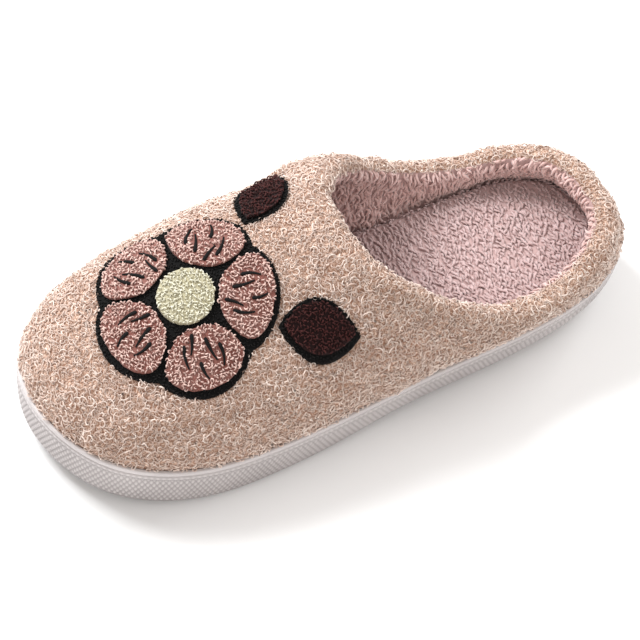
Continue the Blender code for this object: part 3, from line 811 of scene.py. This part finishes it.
def rubber_material(name, colours):
    """Matt foam rubber with a faint mottle and a fine grain, coloured mostly by painted shade from
    the shade attribute: a dark groove, lit teeth and darker knurl recesses.
    """
    material, tree, shader, ramp, coordinates = blank_material(name, colours, 0.6, 0.0)
    broad = noise_output(tree, coordinates, 0.030, 3.0)
    grain = noise_output(tree, coordinates, 0.0006)
    tone = weighted_sum(tree, [(shade_output(tree), 0.65), (broad, 0.35), (grain, 0.15)])
    tree.links.new(tone, ramp.inputs["Fac"])
    rough = add_node(tree, "ShaderNodeMapRange", {"Value": broad, "To Min": 0.5, "To Max": 0.68})
    tree.links.new(rough.outputs["Result"], shader.inputs["Roughness"])
    add_bump(tree, shader, grain, 0.25, 0.0001)
    return material


def floor_material():
    """Plain pale floor with a barely seen tone."""
    material, tree, _, ramp, coordinates = blank_material("pale_floor", FLOOR, 0.9, 0.0)
    tree.links.new(noise_output(tree, coordinates, 0.8), ramp.inputs["Fac"])
    return material


def place_camera():
    """The photograph's camera, rolled as it was, with no lens shift."""
    a, e, r = (math.radians(v) for v in (CAMERA_AZIMUTH, CAMERA_ELEVATION, CAMERA_ROLL))
    back = Vector((math.sin(a) * math.cos(e), -math.cos(a) * math.cos(e), math.sin(e)))
    level = Vector((math.cos(a), math.sin(a), 0.0))
    rise = back.cross(level)
    right = level * math.cos(r) + rise * math.sin(r)
    up = rise * math.cos(r) - level * math.sin(r)
    data = bpy.data.cameras.new("camera")
    data.lens = CAMERA_LENS
    data.sensor_width = 36.0
    data.clip_start = 0.05
    data.clip_end = 20.0
    camera = add_object("camera", data)
    place = Vector(CAMERA_TARGET) + back * CAMERA_DISTANCE
    place -= right * CAMERA_SLIDE[0] + up * CAMERA_SLIDE[1]
    turn = Matrix((right, up, back)).transposed().to_4x4()
    camera.matrix_world = Matrix.Translation(place) @ turn
    bpy.context.scene.camera = camera


def add_object(name, data):
    """A new object in the scene."""
    made = bpy.data.objects.new(name, data)
    bpy.context.scene.collection.objects.link(made)
    return made


def add_light(name, place, size, power, colour):
    """A soft square light aimed at the slipper."""
    data = bpy.data.lights.new(name, "AREA")
    data.color = colour
    data.shape = "SQUARE"
    data.size = size
    data.energy = power
    lamp = add_object(name, data)
    lamp.location = place
    lamp.rotation_mode = "QUATERNION"
    aim = Vector(LIGHT_TARGET) - Vector(place)
    lamp.rotation_quaternion = aim.to_track_quat("-Z", "Y")


def light_scene():
    """Soft studio light: a wide key, a fill, a back light and a pale surround."""
    for name, (place, size, power, colour) in LIGHTS.items():
        add_light(name, place, size, power, colour)
    world = bpy.data.worlds.new("studio")
    world.use_nodes = True
    background = world.node_tree.nodes["Background"]
    background.inputs["Color"].default_value = SURROUND_COLOUR
    background.inputs["Strength"].default_value = SURROUND_STRENGTH
    bpy.context.scene.world = world
    bpy.context.scene.view_settings.view_transform = "Standard"


def make_floor():
    """The floor, under the sole."""
    bpy.ops.mesh.primitive_plane_add(size=8.0)
    floor = bpy.context.object
    floor.name = "floor"
    floor.data.materials.append(floor_material())


def vertex_facings(vertices, triangles):
    """Unit direction out of a surface at each vertex that these triangles use."""
    normal, area = triangle_facings(vertices, triangles)
    total = np.zeros(vertices.shape)
    for corner in triangles.T:
        np.add.at(total, corner, normal * area[:, None])
    return unit(total)


def lining_row(outer, facing, wall, k):
    """A row of the lining, across the wall from row k of the outer skin."""
    blend = (k / WALL_ROWS) ** 1.5
    thickness = wall * blend + LOWER_WALL * (1.0 - blend)
    return outer[k] - facing[k] * thickness[:, None]


def cloth_surface(edge, outward, share, patches):
    """Rows of the upper's skin, up the outside, over the collar and down the lining, with
    troughs and soft lumps. Also the number of outside rows."""
    outer, wall = upper_surface(edge, outward, share)
    facing = facings(outer)
    last_run = unit(outer[-1] - outer[-2])
    half = (wall / 2)[:, None]
    middle = outer[-1] - facing[-1] * half
    turns = [math.pi * k / RIM_ROWS for k in range(1, RIM_ROWS + 1)]
    rim = [middle + half * (facing[-1] * math.cos(a) + last_run * math.sin(a)) for a in turns]
    down = np.linspace(WALL_ROWS - 3, 0, LINING_ROWS)
    lining = [lining_row(outer, facing, wall, int(round(k))) for k in down]
    first = ring(edge, outward, CUP_WALL + GAP, foot_height)
    last = ring(edge, outward, CUP_WALL + GAP + LOWER_WALL, foot_height)
    skin = np.array([first] + list(outer) + rim + lining + [last])
    outside_rows = 1 + len(outer) + PLUSH_RIM_ROWS
    height = LUMP_HEIGHT * soft_noise(skin, LUMP_SIZE, 5)
    sunk = trough_depths(outer)
    height[1:len(outer) + 1] -= sunk
    for k in range(RIM_ROWS):
        height[len(outer) + 1 + k] -= sunk[-1] * (1.0 - (k + 1) / RIM_ROWS)
    flat = skin.reshape(-1, 3)
    under = any_holds(patches, flat)
    for outline in patches:
        under |= plan_distance(flat, outline) < PATCH_MARGIN
    under = under.reshape(height.shape)
    under[outside_rows:] = False
    height = np.where(under, np.minimum(height, 0.0), height)
    height[:2] = 0.0
    height[-2:] = 0.0
    return skin + facings(skin) * height[:, :, None], outside_rows


def add_domes(vertices, out, first, last, places):
    """The vertices moved so that the cloth swells under each curl, and the swelling, which the
    cloth's material also uses as painted shade: lighter on the domes, darker between.
    """
    tree = KDTree(len(places))
    for index, point in enumerate(places):
        tree.insert(point, index)
    tree.balance()
    away = np.array([tree.find(point)[2] for point in vertices[first:last]])
    swell = np.zeros(len(vertices))
    swell[first:last] = 1.0 - smooth_step(away, 0.0, 1.05 * CURL_SPACING)
    return vertices + out * (swell * DOME_HEIGHT)[:, None], swell


def make_upper(edge, outward, share, patches, materials):
    """The upper: its cloth with boucle curls outside, and fleece tufts on the lining."""
    skin, outside_rows = cloth_surface(edge, outward, share, patches)
    rows, count = skin.shape[:2]
    vertices = skin.reshape(-1, 3)
    out = facings(skin).reshape(-1, 3)
    quads = grid_quads(rows, count)
    outside_quads = (outside_rows - 1) * count
    floor_of_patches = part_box("flower_backing")[0].z - PATCH_MARGIN

    def takes_curls(place):
        above_lip = place[:, 2] > lip_height(place[:, 1]) + 0.0008
        return above_lip & ~(any_holds(patches, place) & (place[:, 2] > floor_of_patches))

    outside = split_quads(quads[count:outside_quads])
    place, upward, chosen = scatter(vertices, outside, out, CURL_SPACING, 11, takes_curls)
    round_share = (chosen % (len(outside) // 2)) % count / count
    vertices, swell = add_domes(vertices, out, count, outside_rows * count, place)
    closing = np.stack([quads[:count, 0], (rows - 1) * count + np.arange(count)], axis=1)
    closing = np.column_stack([closing, np.roll(closing, -1, axis=0)[:, ::-1]])
    inside = np.arange(len(quads) + count) >= outside_quads
    # The swelling is the cloth's shade: painted shade, darker between the curls and lighter on their
    # domes.
    cloth = make_piece("upper_cloth", vertices, [quads, closing], swell,
                       [materials["cloth"], materials["fleece_ground"]], inside)
    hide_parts("upper")

    rng = np.random.default_rng(21)
    curls = curl_shapes(rng, 40)
    toe = (round_share > 0.37) & (round_share < 0.63)
    heel = (round_share <= 0.17) | (round_share >= 0.83)
    left = ~toe & ~heel & (round_share < 0.5)
    right = ~toe & ~heel & (round_share > 0.5)
    seat = place + upward * CURL_SEAT
    for name, zone in (("toe", toe), ("left", left), ("right", right), ("heel", heel)):
        planted = plant(curls, seat[zone], upward[zone], 20.0, rng)
        make_planted("boucle_" + name, planted, materials["boucle"])

    def takes_tufts(place):
        above_insole = place[:, 2] > insole_top(place[:, 1]) - TUFT_ROOT
        return above_insole & (place[:, 1] > LINING_TUFTS_END)

    inside = split_quads(quads[outside_quads:])
    place, upward, _ = scatter(vertices, inside, out, TUFT_SPACING, 12, takes_tufts)
    tufts = tuft_shapes(rng, 30, 1.25 * TUFT_LENGTH)
    down = np.tile([0.0, -0.25, -1.0], (len(place), 1))
    planted = plant(tufts, place, upward, 20.0, rng, down, 55.0)
    make_planted("lining_fleece", planted, materials["lining"])


def fan(run, after, centre):
    """Triangles between neighbouring points of a run and one centre."""
    return np.stack([run, after, np.full(len(run), centre)], axis=1)


def make_insole(edge, outward, share, materials):
    """The padded insole, worn in at heel and ball, and tufts that lie across the shoe."""
    inset = insole_insets(edge, outward, share)
    rings = [ring(edge, outward, inset, foot_height)]
    for turn in np.linspace(0.0, math.pi / 2, 6):
        drop = INSOLE_ROUND * (1.0 - math.sin(turn))
        step = INSOLE_ROUND * (1.0 - math.cos(turn))
        rings.append(ring(edge, outward, inset + step, lambda y, d=drop: insole_top(y) - d))
    count = len(edge)
    half = count // 2
    vertices = np.concatenate(rings)
    side = grid_quads(len(rings), count)
    top_first = len(vertices) - count
    left = top_first + np.arange(1, half)
    right = top_first + count - np.arange(1, half)
    steps = (np.arange(1, INSOLE_RINGS) / INSOLE_RINGS)[:, None]
    across = vertices[left][:, None] * (1 - steps) + vertices[right][:, None] * steps
    across[:, :, 2] = insole_top(across[:, :, 1])
    fade = np.sin(math.pi * steps[:, 0])
    worn = sum(depth * np.exp(-((across[:, :, 1] - at) / reach)**2) for at, reach, depth in WORN_ROWS)
    across[:, :, 2] -= worn * fade**0.8
    across[:, :, 2] += LUMP_HEIGHT * soft_noise(across, 0.014, 8) * fade
    inner = len(vertices) + np.arange(across[:, :, 2].size).reshape(half - 1, -1)
    vertices = np.concatenate([vertices, across.reshape(-1, 3)])
    lines = np.column_stack([left, inner, right])
    top = np.stack([lines[:-1, 1:], lines[1:, 1:], lines[1:, :-1], lines[:-1, :-1]], axis=2)
    top = top.reshape(-1, 4)
    heel_fan = fan(lines[0, 1:], lines[0, :-1], top_first)
    toe_fan = fan(lines[-1, :-1], lines[-1, 1:], top_first + half)
    along = np.arange(1, half - 1)
    base = np.stack([along, along + 1, count - along - 1, count - along], axis=1)
    base_ends = np.array([[0, 1, count - 1], [half - 1, half, half + 1]])
    cushion = make_piece("insole_cushion", vertices, [side, top, base, heel_fan, toe_fan, base_ends],
                         np.full(len(vertices), 0.4), [materials["fleece_ground"]])
    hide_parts("insole")

    shoulder = side[2 * count:]
    triangles = np.concatenate([split_quads(top), split_quads(shoulder), heel_fan, toe_fan])
    upward = vertex_facings(vertices, triangles)
    in_sight = lambda place: place[:, 1] > INSOLE_TUFTS_END
    place, out, _ = scatter(vertices, triangles, upward, TUFT_SPACING, 13, in_sight)
    rng = np.random.default_rng(31)
    tufts = tuft_shapes(rng, 30, TUFT_LENGTH)
    across_shoe = np.tile([1.0, -0.10, 0.0], (len(place), 1))
    planted = plant(tufts, place, out, 14.0, rng, across_shoe, 28.0)
    make_planted("insole_fleece", planted, materials["fleece"])


def insole_insets(edge, outward, share):
    """How far the insole stays inside the sole's edge, to clear the upper's lining."""
    outer, wall = upper_surface(edge, outward, share)
    facing = facings(outer)
    foot = ring(edge, outward, CUP_WALL + GAP + LOWER_WALL, cup_floor)
    skin = np.array([foot] + [lining_row(outer, facing, wall, k) for k in range(0, WALL_ROWS, 9)])
    depth = np.einsum("rij,ij->ri", edge - skin[:, :, :2], outward)
    height = skin[:, :, 2]
    insets = []
    for i, top in enumerate(insole_top(foot[:, 1]) + GAP):
        lower = depth[height[:, i] < top, i]
        insets.append(max(lower.max(), np.interp(top, height[:, i], depth[:, i])))
    return np.array(insets) + 2 * GAP


def below_lip(drop):
    """Height under the sole's lip by the drop, as a function of the place."""
    return lambda y: lip_height(y) - drop


def side_height(part, band_top):
    """Height in the knurled band by the share of the way up it, likewise."""
    return lambda y: bottom_height(y) + part * (lip_height(y) - band_top - bottom_height(y))


def make_sole_side(materials):
    """The sole's side: lip, groove, toothed bead and knurling, close over the solid."""
    edge, outward, share = sole_outline(KNURL_STATIONS)
    undercut = HEEL_UNDERCUT + (TOE_UNDERCUT - HEEL_UNDERCUT) * smooth_step(share, 0.0, 0.8)
    bead_top = LIP_HEIGHT + GROOVE_HEIGHT
    band_top = bead_top + BEAD_HEIGHT
    along = np.arange(KNURL_STATIONS) / KNURL_STEPS
    teeth = 0.5 + 0.5 * np.cos(2 * math.pi * along)
    rows = []
    shades = []
    for drop, inset in (
        (-SIDE_LAYER, CUP_WALL),
        (-SIDE_LAYER, LIP_ROUND),
        (0.3 * LIP_ROUND, 0.3 * LIP_ROUND),
        (LIP_ROUND, 0.0),
        (0.6 * LIP_HEIGHT, 0.0),
        (LIP_HEIGHT, 0.0),
        (LIP_HEIGHT + GROOVE_HEIGHT / 3, GROOVE_DEPTH),
        (bead_top - GROOVE_HEIGHT / 3, GROOVE_DEPTH),
        (bead_top, GROOVE_DEPTH / 3),
    ):
        rows.append(ring(edge, outward, inset - SIDE_LAYER, below_lip(drop)))
        # Painted shade: the groove is darkest and the lip light.
        shades.append(np.full(KNURL_STATIONS, 0.0 if inset == GROOVE_DEPTH else 0.9))
    for part in (0.2, 0.5, 0.8):
        proud = SIDE_LAYER + TOOTH_RELIEF * teeth * math.sin(math.pi * part)
        rows.append(ring(edge, outward, -proud, below_lip(bead_top + part * BEAD_HEIGHT)))
        # Painted highlight: each tooth of the bead is lighter on its crest and darker between teeth.
        shades.append(0.55 + 0.4 * teeth)
    parts, insets = np.array(SIDE_ROWS).T
    for index, part in enumerate(np.linspace(1.0, parts[0], KNURL_ROWS)):
        inset = undercut * np.interp(part, parts, insets) + BEAD_PROUD
        rising = (along + index / KNURL_STEPS) % 1.0
        falling = (along - index / KNURL_STEPS) % 1.0
        stud = (1.0 - np.abs(2.0 * rising - 1.0)) * (1.0 - np.abs(2.0 * falling - 1.0))
        stud = np.clip(1.5 * stud**0.55, 0.0, 1.0)
        stud *= smooth_step(part, parts[0], 0.12) * smooth_step(1.0 - part, 0.0, 0.04)
        inset = inset - SIDE_LAYER - KNURL_RELIEF * stud
        rows.append(ring(edge, outward, inset, side_height(part, band_top)))
        # Painted shade: the knurl is darker in the recesses between studs and towards the bottom of
        # the band.
        shades.append(0.17 + 0.75 * stud - 0.2 * (1.0 - part))
    rows.append(ring(edge, outward, undercut + 4 * EDGE_ROUND, lambda y: bottom_height(y) - 0.00002))
    # Painted shade: the row at the floor is darkest.
    shades.append(np.zeros(KNURL_STATIONS))
    vertices = np.array(rows)[::-1].reshape(-1, 3)
    quads = grid_quads(len(rows), len(edge))
    shade = np.array(shades)[::-1].ravel()
    make_piece("sole_side", vertices, [quads], shade, [materials["sole"]])
    solid_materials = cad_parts["outsole"].data.materials
    solid_materials.clear()
    solid_materials.append(materials["sole"])


def off_veins(place, heading):
    """Whether places lie clear of the veins of the petal with this heading."""
    x = place[:, 0] - FLOWER_ACROSS * BALL_WIDTH
    y = place[:, 1] - FLOWER_ALONG * SOLE_LENGTH
    radius = np.hypot(x, y) / FLOWER_RADIUS
    turn = (np.degrees(np.arctan2(y, x)) - heading + 180.0) % 360.0 - 180.0
    clear = np.ones(len(place), bool)
    for direction, start, end, bend in VEIN_ROWS:
        share = (radius - start) / (end - start)
        away = np.radians(np.abs(turn - direction - bend * share**2)) * radius * FLOWER_RADIUS
        clear &= (share < -0.1) | (share > 1.1) | (away > 0.5 * VEIN_WIDTH + VEIN_CLEARANCE)
    return clear


def vein_cords(vertices, triangles, heading):
    """Dark cords laid along a petal's veins, thinning towards the rim."""
    surface = BVHTree.FromPolygons(vertices.tolist(), triangles.tolist())
    share = np.linspace(0.0, 1.0, 12)
    points, quads, count = [], [], 0
    for direction, start, end, bend in VEIN_ROWS:
        radius = FLOWER_RADIUS * (start + (end - start) * share)
        turn = np.radians(heading + direction + bend * share**2)
        x = FLOWER_ACROSS * BALL_WIDTH + radius * np.cos(turn)
        y = FLOWER_ALONG * SOLE_LENGTH + radius * np.sin(turn)
        met = [surface.ray_cast(Vector((*at, 0.2)), Vector((0.0, 0.0, -1.0)))[0] for at in zip(x, y)]
        line = [place + Vector((0.0, 0.0, VEIN_RISE)) for place in met if place is not None]
        run = share[:len(line)]
        width = VEIN_WIDTH / 2 * (1.0 - 0.65 * run) * np.minimum(1.0, 0.4 + 6 * run)
        cord = tube(line, width, 6, 0.6)
        points.append(cord[0])
        quads.append(cord[1] + count)
        count += len(cord[0])
    return np.concatenate(points), np.concatenate(quads)


def tuft_node(name, node, slot, materials, style, seed, covers=(), heading=None):
    """A plate's form with loops all over its top where nothing covers it. A petal has a
    heading, and veins in the felt's material."""
    vertices, triangles = node_arrays(node)
    normal, _ = triangle_facings(vertices, triangles)
    tops = triangles[normal[:, 2] > 0.2]
    out = vertex_facings(vertices, tops)
    shapes, spacing, lean = style

    def uncovered(place):
        clear = ~any_holds(covers, place)
        return clear if heading is None else clear & off_veins(place, heading)

    rng = np.random.default_rng(seed)
    place, upward, _ = scatter(vertices, tops, out, spacing, seed, uncovered)
    loops, quads, shade = plant(shapes, place, upward, lean, rng)
    cords, cord_quads = np.zeros((0, 3)), np.zeros((0, 4), int)
    if heading is not None:
        cords, cord_quads = vein_cords(vertices, triangles, heading)
    quads = np.concatenate([quads, cord_quads + len(loops)]) + len(vertices)
    # Painted shade: the plate between the loops is near the dark end of its colours.
    shade = np.concatenate([np.full(len(vertices), 0.05), shade, np.full(len(cords), 0.3)])
    faces = len(triangles) + len(quads)
    in_cords = np.arange(faces) >= faces - len(cord_quads)
    surfaces = [materials[slot]] + [materials["black_felt"]] * (heading is not None)
    piece = make_piece(name, np.concatenate([vertices, loops, cords]), [triangles, quads],
                       shade, surfaces, in_cords)
    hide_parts(node)


def make_flower(materials):
    """The tufted flower and its leaves on their felt."""
    rng = np.random.default_rng(41)
    tufting = (loop_shapes(rng, 24, LOOP_RISE, LOOP_RADIUS), LOOP_SPACING, LOOP_LEAN)
    felt = (loop_shapes(rng, 16, 0.55 * LOOP_RISE, 0.8 * LOOP_RADIUS), PILE_SPACING, PILE_LEAN)
    petals = ["petal_%d" % (k + 1) for k in range(PETALS)]
    for index, node in enumerate(petals):
        heading = FIRST_PETAL + 360.0 * index / PETALS
        tuft_node(node + "_tufting", node, "pink_tuft", materials, tufting, 50 + index, (), heading)
    tuft_node("flower_centre_tufting", "flower_centre", "cream_tuft", materials, tufting, 61)
    covers = [node_outline(node) for node in petals + ["flower_centre"]]
    tuft_node("flower_felt", "flower_backing", "black_felt", materials, felt, 62, covers)
    for index, side in enumerate(("outer", "inner")):
        leaf = "leaf_" + side
        tuft_node(leaf + "_tufting", leaf, "brown_tuft", materials, tufting, 63 + index)
        tuft_node(leaf + "_felt", "leaf_backing_" + side, "black_felt", materials, felt,
                  65 + index, [node_outline(leaf)])


def build():
    """Everything in order: stage, sole, upper, insole and flower."""
    make_floor()
    place_camera()
    light_scene()
    materials = {
        "cloth": curled_cloth_material("boucle_ground_shaded", PLUSH_GROUND_SHADED),
        "boucle": yarn_material("boucle_yarn", PLUSH),
        "fleece": yarn_material("fleece_pile", FLEECE, 0.8, 0.5),
        "lining": yarn_material("lining_pile_warm_and_lit", LINING_WARM_AND_LIT, 0.8, 0.5),
        "fleece_ground": yarn_material("fleece_ground", FLEECE, 0.9, 0.4, 0.5, 0.0016),
        "pink_tuft": yarn_material("pink_tufting", PINK, 0.6, 0.2, 0.9),
        "cream_tuft": yarn_material("cream_tufting", CREAM, 0.6, 0.2),
        "brown_tuft": yarn_material("brown_tufting", BROWN, 0.6, 0.03),
        "black_felt": yarn_material("black_felt", BLACK, 0.8, 0.02),
        "sole": rubber_material("foam_rubber", SOLE),
    }
    make_sole_side(materials)
    backings = ("flower_backing", "leaf_backing_outer", "leaf_backing_inner")
    patches = [node_outline(node) for node in backings]
    last = sole_outline(STATIONS)
    make_upper(*last, patches, materials)
    make_insole(*last, materials)
    make_flower(materials)


def corners(box):
    """A box's two corners as plain lists."""
    return [list(corner) for corner in box]


build()
